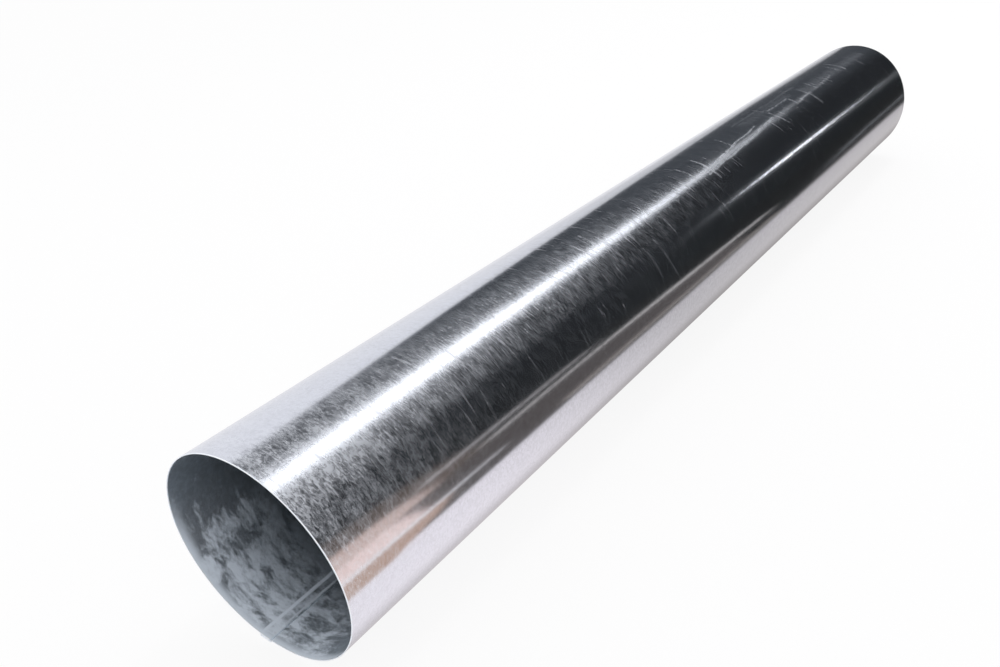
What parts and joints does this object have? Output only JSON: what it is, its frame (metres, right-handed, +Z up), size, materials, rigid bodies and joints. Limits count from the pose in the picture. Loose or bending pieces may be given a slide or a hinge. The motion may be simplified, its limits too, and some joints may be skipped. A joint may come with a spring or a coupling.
{
  "type": "round duct pipe",
  "caption": "Straight round duct pipe rolled from galvanised sheet steel, with a grooved lock seam along its length and plain cut ends.",
  "frame": {"origin": "on the floor under the middle of the pipe: the centre of the bottom of the bounding box", "axes": "+X runs along the pipe, +Z is up; the lock seam lies near the floor on the +Y side"},
  "size_m": [1.5, 0.2016, 0.2015],
  "materials": {
    "galvanised_steel": "bright galvanised sheet with a fine mottled spangle, rub marks round the pipe and dull zinc smears"
  },
  "bodies": {
    "root": {"duct_pipe": "galvanised_steel"}
  },
  "joints": []
}
